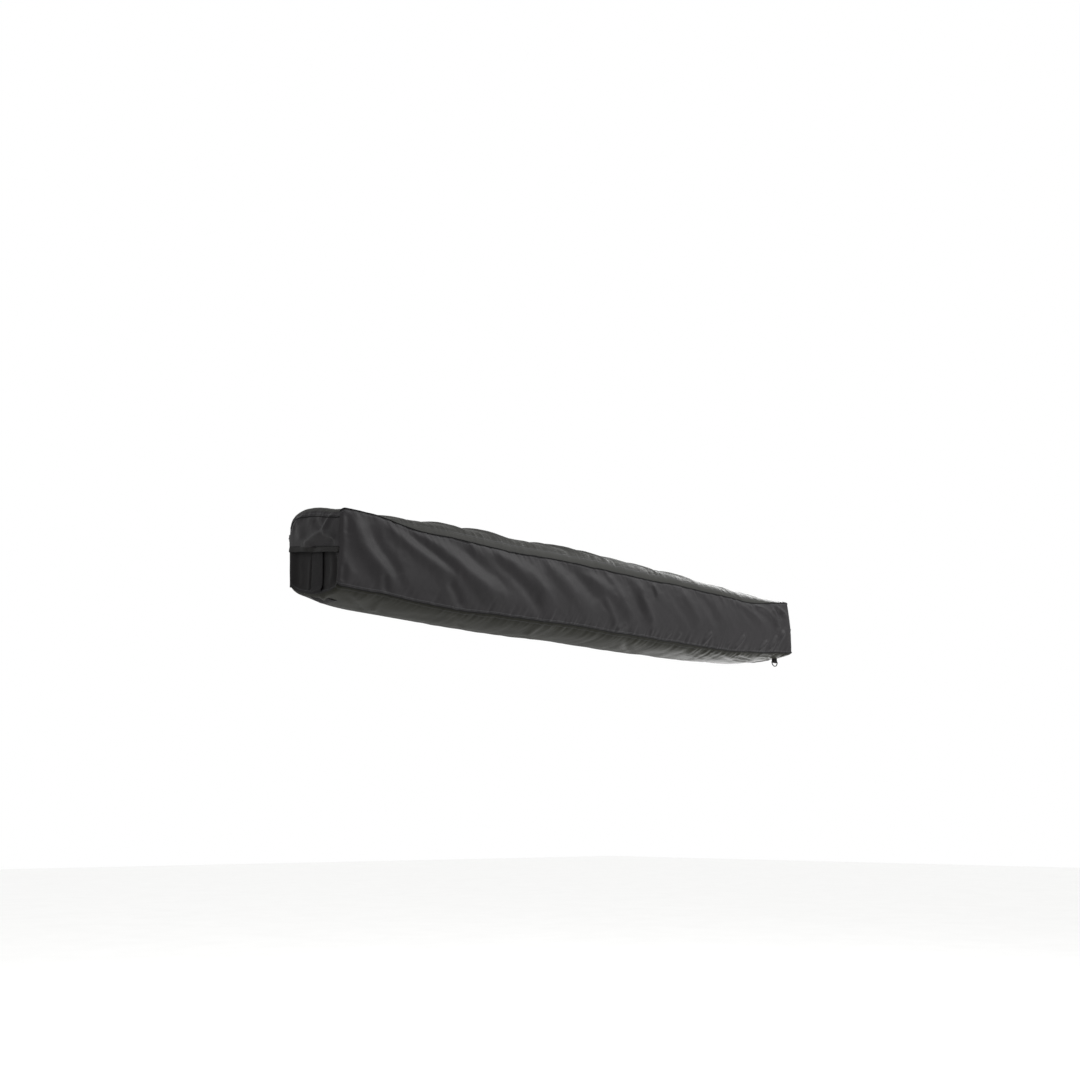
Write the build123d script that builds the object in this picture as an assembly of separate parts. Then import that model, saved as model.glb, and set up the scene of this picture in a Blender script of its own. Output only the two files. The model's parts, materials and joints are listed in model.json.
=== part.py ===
from build123d import *
import math
import os

# A fan-shaped swing-out awning, stowed in its travel cover and fixed beside a roof rack.
# +X runs along the cover away from the pivot, -Y faces outwards from the vehicle, +Z is up.
# The origin is the centre of the four bracket slots, on the brackets' underside.

# Travel cover
cover_length = 2100.0
cover_front_room = 44.0
cover_height_room = 27.5
cover_wall = 2.0
cover_corner = 24.0
top_crown = 60.0
front_bulge = 6.0
bottom_sag = 20.0
sewing_gap = 0.3
hem_drop = 87.0
hem_height = 12.0
hem_wall = 1.2
end_recess = 4.0
end_strap_width = 60.0
end_strap_wall = 2.2

# Base beam, an aluminium extrusion
beam_depth = 42.0
beam_height = 150.0
beam_wall = 2.5
beam_corner = 3.0
beam_drop = 24.0
beam_back = -45.0
slot_mouth = 9.0
slot_pocket = 20.0
slot_pocket_depth = 8.0
slot_lip = 3.0
keder_groove = 6.4
keder_mouth = 3.0
keder_inset = 8.0
end_cap_wall = 4.0
cap_right_room = 16.0

# Brackets and their fixings
bracket_spacing = 1200.0
bracket_width = 100.0
bracket_wall = 6.0
bracket_reach = 45.0
bracket_fall = 48.0
bracket_bend = 5.0
bracket_corner = 10.0
rack_slot_spacing = 40.0
rack_slot_width = 9.0
rack_slot_length = 33.0
bolt_radius = 4.0
bolt_hole_clearance = 0.3
bolt_head = 13.0
bolt_head_height = 5.5
bolt_spacing = 56.0
nut_length = 22.0
nut_clearance = 0.4

# Pivot head
pivot_from_cover_end = 50.0
head_plate_wall = 6.0
head_ring = 26.0
arm_pass = 8.0
flange_length = 100.0
flange_height = 36.0
head_bolt_count = 3
post_radius = 10.0
post_thread = 8.0
post_head_radius = 16.0
post_head_height = 5.0
post_tail = 18.0
post_nut_size = 24.0
post_nut_height = 13.0
bearing_clearance = 0.05

# Arms, channels open underneath
arm_count = 4
arm_spacing = 20.0
arm_wall = 2.0
arm_boss_width = 10.0
arm_boss_height = 7.0
arm_tip_room = 25.0
arm_start = 75.0
knuckle_block = 13.0
knuckle_plug = 60.0
knuckle_ring = 22.0
washer_wall = 1.0
washer_radius = 18.0
washer_clearance = 0.1
tip_plug = 14.0
tip_flange = 4.0
plug_clearance = 0.2

# Legs, two telescoping tubes that lie in the channels
leg_pin_from_tip = 30.0
leg_pin_radius = 4.0
leg_pin_head = 2.0
leg_outer_radius = 11.0
leg_outer_length = 1186.0
leg_outer_wall = 1.5
leg_end_past_pin = 6.0
leg_recess = 3.0
leg_side_room = 0.5
leg_head_room = 2.0
leg_inner_length = 800.0
leg_inner_wall = 1.4
leg_inner_shown = 65.0
leg_fit = 0.1
collar_wall = 1.5
collar_over = 25.0
collar_past = 20.0
collar_rib_count = 12
collar_rib_depth = 0.8
foot_wall = 3.0
foot_length = 34.0
foot_grip = 24.0
foot_chamfer = 4.0

# Folded canopy gores above the arms
gore_head_room = 15.0
gore_end_room = 20.0
gore_gap = 1.0
gore_low = 16.0
gore_high = 90.0
gore_chamfer = 5.0

# Zip along the upper back edge
zip_drop = 10.0
zip_tape_wall = 1.2
zip_tape_height = 11.0
slider_length = 16.0
slider_height = 11.0
slider_depth = 5.0
slider_from_end = 45.0
slider_eye = 3.0
pull_length = 30.0
pull_width = 9.0
pull_wall = 2.0
pull_wire = 1.3
pull_bail = 8.0

# Ring on the bottom panel near the far end
ring_behind_front = 54.0
ring_from_end = 38.0
ring_wire = 2.0
ring_width = 38.0
ring_clear = 0.3
tab_width = 25.0
tab_wall = 2.0
tab_drop = 4.0

# Sizes that follow from what fits inside or beside
collar_radius = leg_outer_radius + collar_wall
inner_radius = leg_outer_radius - leg_outer_wall - leg_fit
foot_radius = inner_radius + foot_wall
arm_width = 2 * (collar_radius + leg_side_room + arm_wall)
arm_height = leg_recess + 2 * leg_outer_radius + leg_head_room + arm_boss_height + arm_wall
arm_pitch = arm_width + arm_spacing
arm_to_beam = arm_spacing / 2
head_clearance = washer_wall / 2 + washer_clearance
arm_reach = cover_length - pivot_from_cover_end - arm_tip_room
beam_start = (arm_count - 1) * arm_pitch / 2 + arm_width / 2 + arm_pass
gore_start = beam_start + flange_length + gore_head_room
cover_height = beam_height + 2 * cover_height_room

# Places worked out from the sizes above
mid_z = -beam_drop
beam_front = beam_back - beam_depth
first_arm_y = beam_front - arm_to_beam - arm_width / 2
last_arm_y = first_arm_y - (arm_count - 1) * arm_pitch
cover_end = cover_length / 2
cover_back = beam_back - keder_inset + cover_wall
cover_front = last_arm_y - arm_width / 2 - cover_front_room
cover_middle = (cover_back + cover_front) / 2
cover_top = mid_z + cover_height / 2
cover_bottom = mid_z - cover_height / 2
pivot_x = -cover_end + pivot_from_cover_end
pivot_y = (first_arm_y + last_arm_y) / 2
beam_left = pivot_x + beam_start
beam_right = cover_end - end_cap_wall - cap_right_room
arm_top = mid_z + arm_height / 2
arm_bottom = mid_z - arm_height / 2
plate_top = arm_top + head_clearance
plate_bottom = arm_bottom - head_clearance
pin_x = pivot_x + arm_reach - leg_pin_from_tip
leg_z = arm_bottom + leg_recess + leg_outer_radius
outer_end_x = pin_x + leg_end_past_pin - leg_outer_length
inner_end_x = outer_end_x - leg_inner_shown
strip_y = beam_back - keder_inset
zip_z = cover_top - zip_drop
slider_x = cover_end - slider_from_end


def arm_y(number):
    """The middle of an arm's channel, counted from the beam outwards."""
    return first_arm_y - (number - 1) * arm_pitch


def box(x0, x1, y0, y1, z0, z1):
    """A block between two corners."""
    size = (abs(x1 - x0), abs(y1 - y0), abs(z1 - z0))
    return Pos((x0 + x1) / 2, (y0 + y1) / 2, (z0 + z1) / 2) * Box(*size)


def rod(start, end, radius):
    """A round bar from one point to another."""
    line = Vector(*end) - Vector(*start)
    plane = Plane(origin=start, z_dir=line)
    return extrude(plane * Circle(radius), line.length)


def along_x(sketch, x0, x1):
    """A profile drawn in the YZ plane, run between two places along X."""
    return extrude(Pos(x0, 0, 0) * sketch, x1 - x0, dir=(1, 0, 0))


def rectangle(y0, y1, z0, z1):
    """A rectangle in the YZ plane."""
    centre = Pos(0, (y0 + y1) / 2, (z0 + z1) / 2)
    return centre * (Plane.YZ * Rectangle(abs(y1 - y0), abs(z1 - z0)))


def disc(y, z, radius):
    """A circle in the YZ plane."""
    return Pos(0, y, z) * (Plane.YZ * Circle(radius))


def joined(shapes):
    """Several solids kept apart in one group."""
    return Compound(children=list(shapes))


# Cover


def cover_outline(inset):
    """The cover's section: crowned top, bulging front, sagging bottom and a straight back."""
    back = cover_back - inset
    front = cover_front + inset
    top = cover_top - inset
    bottom = cover_bottom + inset
    middle_y = (back + front) / 2
    sides = [
        ThreePointArc((0, back, top), (0, middle_y, top + top_crown), (0, front, top)),
        ThreePointArc((0, front, top), (0, front - front_bulge, mid_z), (0, front, bottom)),
        ThreePointArc((0, front, bottom), (0, middle_y, bottom - bottom_sag), (0, back, bottom)),
        Line((0, back, bottom), (0, back, top)),
    ]
    face = make_face(Wire(sides))
    corners = face.vertices().sort_by(Axis.Y)[:2]
    return fillet(corners, cover_corner - inset)


def cover_block(inset, reach):
    """The cover's whole section, drawn in by an inset and run to both sides of the middle."""
    return along_x(cover_outline(inset), -reach, reach)


def seam_wedge(y_near, z_near, y_far, z_far):
    """A three-sided region from the section's middle out past two of its corners."""
    points = [(cover_middle, mid_z)]
    for y, z in ((y_near, z_near), (y_far, z_far)):
        points.append((cover_middle + 2 * (y - cover_middle), mid_z + 2 * (z - mid_z)))
    return make_face(Plane.YZ * Polyline(*points, close=True))


def cover_panel(wedge):
    """The stretch of the cover's wall inside a wedge, run between the two ends."""
    inside = cover_end - cover_wall
    skin = cover_block(0, inside) - cover_block(cover_wall, cover_end)
    return skin & along_x(wedge, -cover_end, cover_end)


def open_back(panel):
    """A panel without the part of its wall that lies behind the back edge."""
    return panel - box(-cover_end, cover_end, cover_back - cover_wall, cover_back, cover_bottom + cover_wall,
                       cover_top - cover_wall)


def cover_top_panel():
    wedge = seam_wedge(cover_back, cover_top, cover_front, cover_top)
    return open_back(cover_panel(wedge))


def cover_front_panel():
    wedge = seam_wedge(cover_front, cover_top, cover_front, cover_bottom)
    return cover_panel(wedge)


def cover_bottom_panel():
    wedge = seam_wedge(cover_front, cover_bottom, cover_back, cover_bottom)
    return open_back(cover_panel(wedge))


def end_sheet(side, inset, shrink, z_low, z_high):
    """A piece of an end wall between two heights, set in from the cover's end and its skin."""
    outer = side * (cover_end - inset)
    keep = box(outer - side * cover_wall, outer, 2 * cover_front, cover_back, z_low, z_high)
    return cover_block(shrink, cover_end) & keep


def end_flaps():
    """The upper flaps that fold down over both ends."""
    low = cover_top - hem_drop
    return joined(end_sheet(side, 0, 0, low, 2 * cover_height) for side in (-1, 1))


def end_panels():
    """The lower end walls, set in behind the flaps."""
    high = cover_top - hem_drop + hem_height
    shrink = cover_wall + sewing_gap
    low = -2 * cover_height
    return joined(end_sheet(side, end_recess, shrink, low, high) for side in (-1, 1))


def flap_hems():
    """The doubled band along the lower edge of each end flap."""
    shapes = []
    low = cover_top - hem_drop
    for side in (-1, 1):
        outer = side * (cover_end + hem_wall)
        band = rectangle(cover_front, cover_back, low, low + hem_height)
        shapes.append(along_x(band, outer - side * hem_wall, outer))
    return joined(shapes)


def end_straps():
    """The webbing straps that come from under each flap and run down to the bottom edge."""
    high = cover_top - hem_drop - sewing_gap
    low = cover_bottom + cover_wall
    shapes = []
    for side in (-1, 1):
        inner = side * (cover_end - end_recess)
        half = end_strap_width / 2
        webbing = rectangle(cover_middle - half, cover_middle + half, low, high)
        shapes.append(along_x(webbing, inner, inner + side * end_strap_wall))
    return joined(shapes)


def cover_back_ends():
    """The returns of the end walls round the back, beside the beam."""
    half = beam_height / 2 - sewing_gap
    inside = cover_end - end_recess - cover_wall
    spans = ((-inside, beam_left - end_cap_wall - sewing_gap),
             (beam_right + end_cap_wall + sewing_gap, inside))
    near = strip_y - cover_wall / 2
    return joined(box(a, b, near, near + cover_wall, mid_z - half, mid_z + half) for a, b in spans)


def back_strip(upward):
    """A fabric strip from the beam's keder groove to the cover's back edge."""
    side = 1 if upward else -1
    groove_z = mid_z + side * (beam_height / 2 - keder_inset / 2)
    inside = cover_end - end_recess - cover_wall - sewing_gap
    edge = cover_top if upward else cover_bottom
    far = edge - side * (cover_wall + sewing_gap)
    half = cover_wall / 2
    sheet = rectangle(strip_y - half, strip_y + half, mid_z + side * beam_height / 2, far)
    neck = rectangle(strip_y - half, strip_y + half, groove_z, mid_z + side * beam_height / 2)
    bead = disc(strip_y, groove_z, keder_groove / 2 - sewing_gap)
    return along_x(sheet, -inside, inside) + along_x(neck + bead, beam_left, beam_right)


# Zip


def zip_tape(fixed):
    """Half of the zip, its tape with the row of coils along one edge."""
    inside = cover_end - end_recess - cover_wall - sewing_gap
    near = strip_y + cover_wall / 2 + (0 if fixed else sewing_gap)
    low = zip_z - zip_tape_height if fixed else zip_z + sewing_gap
    high = zip_z if fixed else cover_top - cover_wall
    return along_x(rectangle(near, near + zip_tape_wall, low, high), -inside, inside)


def slider_face():
    """The Y of the slider's inner face, just clear of the tapes."""
    return strip_y + cover_wall / 2 + zip_tape_wall + 2 * sewing_gap


def slider_eye_place():
    """The Y and Z of the eye behind the slider, which the pull hangs from."""
    return slider_face() + slider_depth + slider_eye, zip_z


def zip_slider():
    """The slider's body with an eye behind it for the pull."""
    near = slider_face()
    half = slider_length / 2
    body = box(slider_x - half, slider_x + half, near, near + slider_depth,
               zip_z - slider_height / 2, zip_z + slider_height / 2)
    body = fillet(body.edges().filter_by(Axis.Y), 3)
    eye_y, eye_z = slider_eye_place()
    ear_half = slider_eye / 2
    ear = box(slider_x - ear_half, slider_x + ear_half, near + slider_depth, eye_y, eye_z - slider_eye,
              eye_z + slider_eye)
    ear += rod((slider_x - ear_half, eye_y, eye_z), (slider_x + ear_half, eye_y, eye_z), slider_eye)
    reach = slider_length
    return body + ear - rod((slider_x - reach, eye_y, eye_z), (slider_x + reach, eye_y, eye_z),
                            pull_wire + sewing_gap)


def zip_pull():
    """The pull: a wire bail through the slider's eye, with a flat tab under it."""
    eye_y, eye_z = slider_eye_place()
    half = pull_width / 2 - pull_wire
    bail = rod((slider_x - half, eye_y, eye_z), (slider_x + half, eye_y, eye_z), pull_wire)
    for x in (slider_x - half, slider_x + half):
        bail += rod((x, eye_y, eye_z), (x, eye_y, eye_z - pull_bail - 1), pull_wire)
        bail += Pos(x, eye_y, eye_z) * Sphere(pull_wire)
    tab = box(slider_x - pull_width / 2, slider_x + pull_width / 2, eye_y - pull_wall / 2,
              eye_y + pull_wall / 2, eye_z - pull_bail - pull_length, eye_z - pull_bail)
    return bail + fillet(tab.edges().filter_by(Axis.Y), 2)


# Base


def keder_cut(y, z, side):
    """A keder groove: a round channel with a narrow mouth towards a face above or below."""
    groove = disc(y, z, keder_groove / 2)
    mouth = rectangle(y - keder_mouth / 2, y + keder_mouth / 2, z, z + side * keder_groove)
    return groove + mouth


def beam_section():
    """The hollow extrusion with a T-slot at the back and keder grooves above and below."""
    half = beam_height / 2
    outer = rectangle(beam_front, beam_back, mid_z - half, mid_z + half)
    outer = fillet(outer.vertices(), beam_corner)
    hollow = rectangle(beam_front + beam_wall, beam_back - beam_wall, mid_z - half + beam_wall,
                       mid_z + half - beam_wall)
    pocket_back = beam_back - slot_lip
    pocket_front = pocket_back - slot_pocket_depth
    walls = rectangle(pocket_front - beam_wall, beam_back, mid_z - slot_pocket / 2 - beam_wall,
                      mid_z + slot_pocket / 2 + beam_wall)
    grooves = None
    for side in (-1, 1):
        z = mid_z + side * (half - keder_inset / 2)
        walls += rectangle(strip_y - keder_inset, beam_back, z, z + side * half)
        walls += disc(strip_y, z, keder_groove / 2 + beam_wall)
        cut = keder_cut(strip_y, z, side)
        grooves = cut if grooves is None else grooves + cut
    pocket = rectangle(pocket_front, pocket_back, mid_z - slot_pocket / 2, mid_z + slot_pocket / 2)
    mouth = rectangle(pocket_back, beam_back, mid_z - slot_mouth / 2, mid_z + slot_mouth / 2)
    return outer - (hollow - walls) - pocket - mouth - grooves


def head_bolt_places():
    """Where the head bolts go through the two flanges, as (x, z)."""
    step = flange_length / head_bolt_count
    places = []
    for side, edge in ((1, plate_top), (-1, plate_bottom)):
        z = edge + side * (head_plate_wall + flange_height / 2)
        for n in range(head_bolt_count):
            places.append((beam_left + step * (n + 0.5), z))
    return places


def base_beam():
    """The beam, drilled at the front for the head bolts."""
    beam = along_x(beam_section(), beam_left, beam_right)
    for x, z in head_bolt_places():
        beam -= rod((x, beam_front - 1, z), (x, beam_front + beam_wall + 1, z), bolt_radius)
    return beam


def beam_end_caps():
    """Flat caps over both ends of the beam."""
    half = beam_height / 2
    outline = rectangle(beam_front, beam_back, mid_z - half, mid_z + half)
    outline = fillet(outline.vertices(), beam_corner)
    left = along_x(outline, beam_left - end_cap_wall, beam_left)
    right = along_x(outline, beam_right, beam_right + end_cap_wall)
    return joined([left, right])


def bracket(centre_x):
    """An angle that bolts to the beam's slot and lies on the roof rack."""
    fall = rectangle(beam_back, beam_back + bracket_wall, -bracket_fall, bracket_wall)
    reach = rectangle(beam_back, bracket_reach, 0, bracket_wall)
    profile = fall + reach
    inner = profile.vertices().sort_by_distance((0, beam_back + bracket_wall, 0))[0]
    outer = profile.vertices().sort_by_distance((0, beam_back, bracket_wall))[0]
    profile = fillet(inner, bracket_bend)
    profile = fillet(profile.vertices().sort_by_distance(outer)[0], bracket_bend + bracket_wall / 2)
    half = bracket_width / 2
    solid = along_x(profile, centre_x - half, centre_x + half)
    for y in (-rack_slot_spacing / 2, rack_slot_spacing / 2):
        slot = Pos(centre_x, y, 0) * SlotOverall(rack_slot_length, rack_slot_width)
        solid -= extrude(slot, bracket_wall + 1)
    for x in bolt_places(centre_x):
        hole = bolt_radius + bolt_hole_clearance
        solid -= rod((x, beam_back - 1, mid_z), (x, beam_back + bracket_wall + 1, mid_z), hole)
    reach_corners = solid.edges().filter_by(Axis.Z).sort_by(Axis.Y)[-2:]
    fall_corners = solid.edges().filter_by(Axis.Y).sort_by(Axis.Z)[:2]
    return fillet([*reach_corners, *fall_corners], bracket_corner)


def bolt_places(centre_x):
    """Where a bracket's two bolts sit along the beam's slot."""
    return (centre_x - bolt_spacing / 2, centre_x + bolt_spacing / 2)


def all_bolt_places():
    half = bracket_spacing / 2
    return [*bolt_places(-half), *bolt_places(half)]


def hex_head(x, y, z, size, height, towards):
    """A hexagon head that stands on a face, its height along Y."""
    plane = Plane(origin=(x, y, z), z_dir=(0, towards, 0))
    return extrude(plane * RegularPolygon(size / 2, 6, major_radius=False), height)


def bracket_bolts():
    """Hexagon bolts from behind the brackets into the nuts in the slot."""
    head_y = beam_back + bracket_wall
    tip_y = beam_back - slot_lip - slot_pocket_depth + nut_clearance
    shapes = []
    for x in all_bolt_places():
        shank = rod((x, tip_y, mid_z), (x, head_y, mid_z), bolt_radius)
        shapes.append(shank + hex_head(x, head_y, mid_z, bolt_head, bolt_head_height, 1))
    return joined(shapes)


def slot_nuts():
    """Plates that slide in the beam's slot, threaded for the bolts."""
    back = beam_back - slot_lip
    front = back - slot_pocket_depth + nut_clearance
    half = slot_pocket / 2 - nut_clearance
    shapes = []
    for x in all_bolt_places():
        plate = box(x - nut_length / 2, x + nut_length / 2, front, back, mid_z - half, mid_z + half)
        shapes.append(plate - rod((x, front - 1, mid_z), (x, back + 1, mid_z), bolt_radius))
    return joined(shapes)


# Pivot head


def head_plate(upper):
    """A cheek of the pivot head: a plate over the post with a flange on the beam's front."""
    side = 1 if upper else -1
    face = plate_top if upper else plate_bottom
    with BuildSketch() as plan:
        with BuildLine():
            with Locations((pivot_x, pivot_y)):
                CenterArc((pivot_x, pivot_y), head_ring, 0, 360)
            Polyline((beam_left, beam_front - head_plate_wall),
                     (beam_left + flange_length, beam_front - head_plate_wall),
                     (beam_left + flange_length, beam_front), (beam_left, beam_front), close=True)
        make_hull()
    plate = extrude(Pos(0, 0, face) * plan.sketch, side * head_plate_wall)
    near = face + side * head_plate_wall
    far = near + side * flange_height
    flange = box(beam_left, beam_left + flange_length, beam_front - head_plate_wall, beam_front, near, far)
    flange = fillet(flange.edges().filter_by(Axis.Y).sort_by(Axis.Z)[-2:] if upper
                    else flange.edges().filter_by(Axis.Y).sort_by(Axis.Z)[:2], 8)
    plate += flange
    plate -= rod((pivot_x, pivot_y, face - side), (pivot_x, pivot_y, near + side), post_radius)
    for x, z in head_bolt_places():
        hole = bolt_radius + bolt_hole_clearance
        plate -= rod((x, beam_front - head_plate_wall - 1, z), (x, beam_front + 1, z), hole)
    return plate


def head_bolts():
    """Hexagon bolts through the flanges into the beam."""
    face = beam_front - head_plate_wall
    shapes = []
    for x, z in head_bolt_places():
        shank = rod((x, face, z), (x, beam_front + beam_wall + 4, z), bolt_radius)
        shapes.append(shank + hex_head(x, face, z, bolt_head, bolt_head_height, -1))
    return joined(shapes)


def pivot_post():
    """The post that all four arms turn on, headed below and threaded above."""
    low = plate_bottom - head_plate_wall
    high = plate_top + head_plate_wall
    post = rod((pivot_x, pivot_y, low), (pivot_x, pivot_y, high), post_radius)
    post += rod((pivot_x, pivot_y, low - post_head_height), (pivot_x, pivot_y, low), post_head_radius)
    return post + rod((pivot_x, pivot_y, high), (pivot_x, pivot_y, high + post_tail), post_thread)


def post_nut():
    """The nut that closes the post."""
    low = plate_top + head_plate_wall
    hexagon = Pos(pivot_x, pivot_y, low) * RegularPolygon(post_nut_size / 2, 6, major_radius=False)
    nut = extrude(hexagon, post_nut_height)
    return nut - rod((pivot_x, pivot_y, low - 1), (pivot_x, pivot_y, low + post_tail), post_thread)


def post_washers():
    """Thin washers on the post, one over and under every arm's knuckle."""
    level = arm_height / arm_count
    shapes = []
    for n in range(arm_count + 1):
        low = arm_bottom + n * level - washer_wall / 2
        high = low + washer_wall
        ring = rod((pivot_x, pivot_y, low), (pivot_x, pivot_y, high), washer_radius)
        shapes.append(ring - rod((pivot_x, pivot_y, low), (pivot_x, pivot_y, high), post_radius))
    return joined(shapes)


# Arms


def arm_section(y):
    """The arm's channel: open below, with a keder groove sunk in its top wall."""
    half = arm_width / 2
    outer = rectangle(y - half, y + half, arm_bottom, arm_top)
    outer = fillet(outer.vertices().sort_by(Axis.Z)[-2:], arm_wall)
    hollow = rectangle(y - half + arm_wall, y + half - arm_wall, arm_bottom, arm_top - arm_wall)
    boss = rectangle(y - arm_boss_width / 2, y + arm_boss_width / 2, arm_top - arm_wall - arm_boss_height,
                     arm_top - arm_wall)
    groove_z = arm_top - arm_wall - arm_boss_height / 2
    return outer - (hollow - boss) - keder_cut(y, groove_z, 1)


def arm_channel(number):
    """An arm, drilled across near its tip for the leg's pin."""
    y = arm_y(number)
    arm = along_x(arm_section(y), pivot_x + arm_start, pivot_x + arm_reach)
    half = arm_width / 2 + 1
    return arm - rod((pin_x, y - half, leg_z), (pin_x, y + half, leg_z), leg_pin_radius)


def arm_knuckle(number):
    """The arm's root: a tongue on the shared post, a block and a plug in the channel."""
    y = arm_y(number)
    level = arm_height / arm_count
    low = arm_bottom + (number - 1) * level + head_clearance
    block_x = pivot_x + arm_start - knuckle_block
    half = arm_width / 2
    with BuildSketch() as plan:
        with BuildLine():
            CenterArc((pivot_x, pivot_y), knuckle_ring, 0, 360)
            Polyline((block_x, y - half), (block_x + 1, y - half), (block_x + 1, y + half),
                     (block_x, y + half), close=True)
        make_hull()
    knuckle = extrude(Pos(0, 0, low) * plan.sketch, level - 2 * head_clearance)
    knuckle += box(block_x, pivot_x + arm_start, y - half, y + half, arm_bottom, arm_top)
    inner = half - arm_wall - plug_clearance
    plug_top = arm_top - arm_wall - arm_boss_height - plug_clearance
    knuckle += box(pivot_x + arm_start, pivot_x + arm_start + knuckle_plug, y - inner, y + inner,
                   arm_bottom, plug_top)
    bore = post_radius + bearing_clearance
    return knuckle - rod((pivot_x, pivot_y, arm_bottom - 1), (pivot_x, pivot_y, arm_top + 1), bore)


def arm_tip(number):
    """The moulded cap on the arm's end, and the pin that the leg turns on."""
    y = arm_y(number)
    half = arm_width / 2
    end = pivot_x + arm_reach
    face = rectangle(y - half, y + half, arm_bottom, arm_top)
    cap = along_x(fillet(face.vertices(), arm_wall), end, end + tip_flange)
    inner = half - arm_wall - plug_clearance
    plug_top = arm_top - arm_wall - arm_boss_height - plug_clearance
    cap += box(end - tip_plug, end, y - inner, y + inner, arm_bottom + arm_wall, plug_top)
    pin = rod((pin_x, y - half, leg_z), (pin_x, y + half, leg_z), leg_pin_radius)
    for side in (-1, 1):
        edge = y + side * half
        pin += rod((pin_x, edge, leg_z), (pin_x, edge + side * leg_pin_head, leg_z), 1.6 * leg_pin_radius)
    return joined([cap, pin])


def gore_section(x, y, height):
    """A folded gore's section at one place along the arm."""
    half = (arm_pitch - gore_gap) / 2
    low = arm_top + sewing_gap
    shape = rectangle(y - half, y + half, low, low + height)
    return Pos(x, 0, 0) * chamfer(shape.vertices().sort_by(Axis.Z)[-2:], gore_chamfer)


def canopy_gore(number):
    """The canopy's gore before an arm, pleated on top of it and deeper towards the tip."""
    y = arm_y(number)
    start = gore_section(pivot_x + gore_start, y, gore_low)
    end = gore_section(pivot_x + arm_reach - gore_end_room, y, gore_high)
    return loft([start, end], ruled=True)


# Legs


def leg_outer(number):
    """The leg's upper tube, pinned across near its end."""
    y = arm_y(number)
    start = (pin_x + leg_end_past_pin, y, leg_z)
    end = (outer_end_x, y, leg_z)
    tube = rod(start, end, leg_outer_radius) - rod(start, end, leg_outer_radius - leg_outer_wall)
    hole = leg_pin_radius + bearing_clearance
    reach = leg_outer_radius + 1
    return tube - rod((pin_x, y - reach, leg_z), (pin_x, y + reach, leg_z), hole)


def leg_collar(number):
    """The twist collar at the end of the upper tube, ribbed for grip."""
    y = arm_y(number)
    seat = outer_end_x + collar_over
    end = outer_end_x - collar_past
    ring = disc(y, leg_z, collar_radius)
    for n in range(collar_rib_count):
        angle = 2 * math.pi * n / collar_rib_count
        ring -= disc(y + collar_radius * math.cos(angle), leg_z + collar_radius * math.sin(angle),
                     collar_rib_depth)
    collar = along_x(ring, end, seat)
    collar -= rod((outer_end_x, y, leg_z), (seat + 1, y, leg_z), leg_outer_radius + bearing_clearance)
    return collar - rod((end - 1, y, leg_z), (seat, y, leg_z), inner_radius + leg_fit)


def leg_inner(number):
    """The leg's lower tube, sliding in the upper one."""
    y = arm_y(number)
    start = (inner_end_x, y, leg_z)
    end = (inner_end_x + leg_inner_length, y, leg_z)
    return rod(start, end, inner_radius) - rod(start, end, inner_radius - leg_inner_wall)


def leg_foot(number):
    """The rubber foot on the lower tube's end, bevelled underneath."""
    y = arm_y(number)
    low = inner_end_x + foot_grip - foot_length
    high = inner_end_x + foot_grip
    foot = rod((low, y, leg_z), (high, y, leg_z), foot_radius)
    foot = chamfer(foot.edges().sort_by(Axis.X)[0], foot_chamfer)
    return foot - rod((inner_end_x, y, leg_z), (high + 1, y, leg_z), inner_radius)


# Ring


def bottom_skin_z(y):
    """The height of the sagging bottom panel's outside at a place across the cover."""
    chord = cover_back - cover_front
    radius = (chord ** 2 / 4 + bottom_sag ** 2) / (2 * bottom_sag)
    offset_y = y - cover_middle
    return cover_bottom - (math.sqrt(radius ** 2 - offset_y ** 2) - (radius - bottom_sag))


def ring_centre():
    """The middle of the ring's straight bar, which it swings on."""
    y = cover_front + ring_behind_front
    z = bottom_skin_z(y) - tab_drop - ring_wire - ring_clear
    return cover_end - ring_from_end, y, z


def ring_tab():
    """The webbing loop under the bottom panel that holds the ring."""
    x, y, z = ring_centre()
    bore = ring_wire + ring_clear
    loop = disc(y, z, bore + tab_wall)
    stem_top = min(bottom_skin_z(y - tab_wall), bottom_skin_z(y + tab_wall))
    stem = rectangle(y - tab_wall, y + tab_wall, z, stem_top)
    profile = loop + stem - disc(y, z, bore)
    return along_x(profile, x - tab_width / 2, x + tab_width / 2)


def d_ring():
    """A wire D-ring: a straight bar with half a circle under it."""
    x, y, z = ring_centre()
    reach = ring_width / 2 - ring_wire
    section = Pos(x + reach, y, z) * (Plane.XY * Circle(ring_wire))
    bow = revolve(section, Axis((x, y, z), (0, 1, 0)), 180)
    bar = rod((x - reach, y, z), (x + reach, y, z), ring_wire)
    ends = [Pos(x + side * reach, y, z) * Sphere(ring_wire) for side in (-1, 1)]
    return bow + bar + ends[0] + ends[1]


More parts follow.
